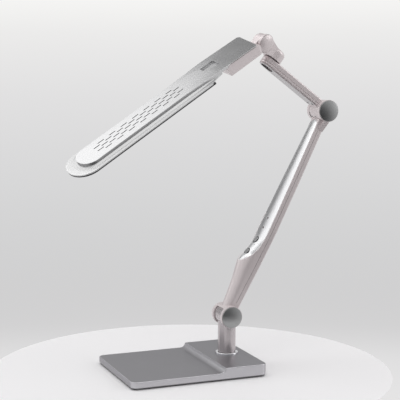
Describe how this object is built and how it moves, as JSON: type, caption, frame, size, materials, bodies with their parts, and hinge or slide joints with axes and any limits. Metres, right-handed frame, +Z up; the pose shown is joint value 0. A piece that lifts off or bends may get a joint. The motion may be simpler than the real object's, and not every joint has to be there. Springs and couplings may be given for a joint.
{
  "type": "desk lamp",
  "caption": "Desk lamp with a stepped weighted base, a swivel post, two folding arms and a slim flat light head that swivels and tilts.",
  "frame": {"origin": "on the table under the middle of the base's plan", "axes": "+X from the post towards the base's front, the way the head reaches; +Z up; +Y sideways"},
  "size_m": [0.4236, 0.1798, 0.4793],
  "materials": {
    "base_silver": "satin metallic silver paint",
    "black_plastic": "matte",
    "rubber": "matte",
    "steel": "zinc plated",
    "pearl": "pearl",
    "panel_silver": "brushed",
    "chrome": "polished",
    "head_aluminium": "satin",
    "diffuser": "frosted",
    "board": "white solder mask",
    "lens": "clear",
    "nylon": "natural"
  },
  "bodies": {
    "base": {"base_cover": "base_silver", "base_plate": "black_plastic", "anti_slip_mat": "rubber", "base_weight": "steel", "base_screws": "steel", "dc_inlet": "black_plastic", "post_ring": "chrome", "post_bushing": "nylon"},
    "post": {"swivel_post": "pearl", "swivel_washer": "steel", "swivel_nut": "steel"},
    "lower_arm": {"lower_arm_shell": "pearl", "lower_arm_rear_cover": "pearl", "control_panel": "panel_silver", "control_board": "board", "indicator_lenses": "lens", "lower_knuckle_near_cap": "panel_silver", "lower_knuckle_far_cap": "panel_silver", "lower_knuckle_bolt": "steel", "lower_knuckle_nut": "steel", "lower_knuckle_washers": "nylon", "elbow_near_cap": "panel_silver", "elbow_far_cap": "panel_silver", "elbow_bolt": "steel", "elbow_nut": "steel"},
    "power_button": {"power_button": "chrome"},
    "mode_button": {"mode_button": "chrome"},
    "upper_arm": {"upper_arm_shell": "pearl", "upper_arm_plate": "panel_silver", "upper_arm_screws": "steel", "elbow_washers": "nylon"},
    "head_swivel": {"head_swivel_housing": "pearl", "head_swivel_bolt": "steel", "head_swivel_washer": "black_plastic", "head_tilt_cap": "panel_silver", "head_tilt_bolt": "steel", "head_tilt_nut": "steel"},
    "head": {"head_bracket": "pearl", "head_top_cover": "head_aluminium", "head_tray": "head_aluminium", "head_frame": "black_plastic", "head_frame_screws": "steel", "light_guide": "diffuser", "led_board": "board", "heat_spreader": "head_aluminium", "head_tilt_washers": "nylon"}
  },
  "joints": [
    {"name": "base_swivel", "type": "hinge", "parent": "base", "child": "post", "pos_m": [-0.0712, 0, 0.03], "axis": [0, 0, 1], "range_deg": [-90, 90]},
    {"name": "lower_tilt", "type": "hinge", "parent": "post", "child": "lower_arm", "pos_m": [-0.0712, 0, 0.074], "axis": [0, -1, 0], "range_deg": [-35, 25]},
    {"name": "elbow", "type": "hinge", "parent": "lower_arm", "child": "upper_arm", "pos_m": [-0.22274, 0, 0.3676], "axis": [0, 1, 0], "range_deg": [-40, 35]},
    {"name": "head_swivel", "type": "hinge", "parent": "upper_arm", "child": "head_swivel", "pos_m": [-0.13895, 0, 0.44128], "axis": [-0.5962, 0, 0.8028], "range_deg": [-100, 50]},
    {"name": "head_tilt", "type": "hinge", "parent": "head_swivel", "child": "head", "pos_m": [-0.11772, 0.01479, 0.4659], "axis": [0.3393, -0.9063, 0.252], "range_deg": [-28, 66]},
    {"name": "power_press", "type": "slide", "parent": "lower_arm", "child": "power_button", "axis": [-0.7452, 0, -0.6669], "range_m": [0, 0.0008], "stiffness_N_per_m": 600, "springref_m": -0.0004},
    {"name": "mode_press", "type": "slide", "parent": "lower_arm", "child": "mode_button", "axis": [-0.7452, 0, -0.6669], "range_m": [0, 0.0008], "stiffness_N_per_m": 600, "springref_m": -0.0004}
  ]
}
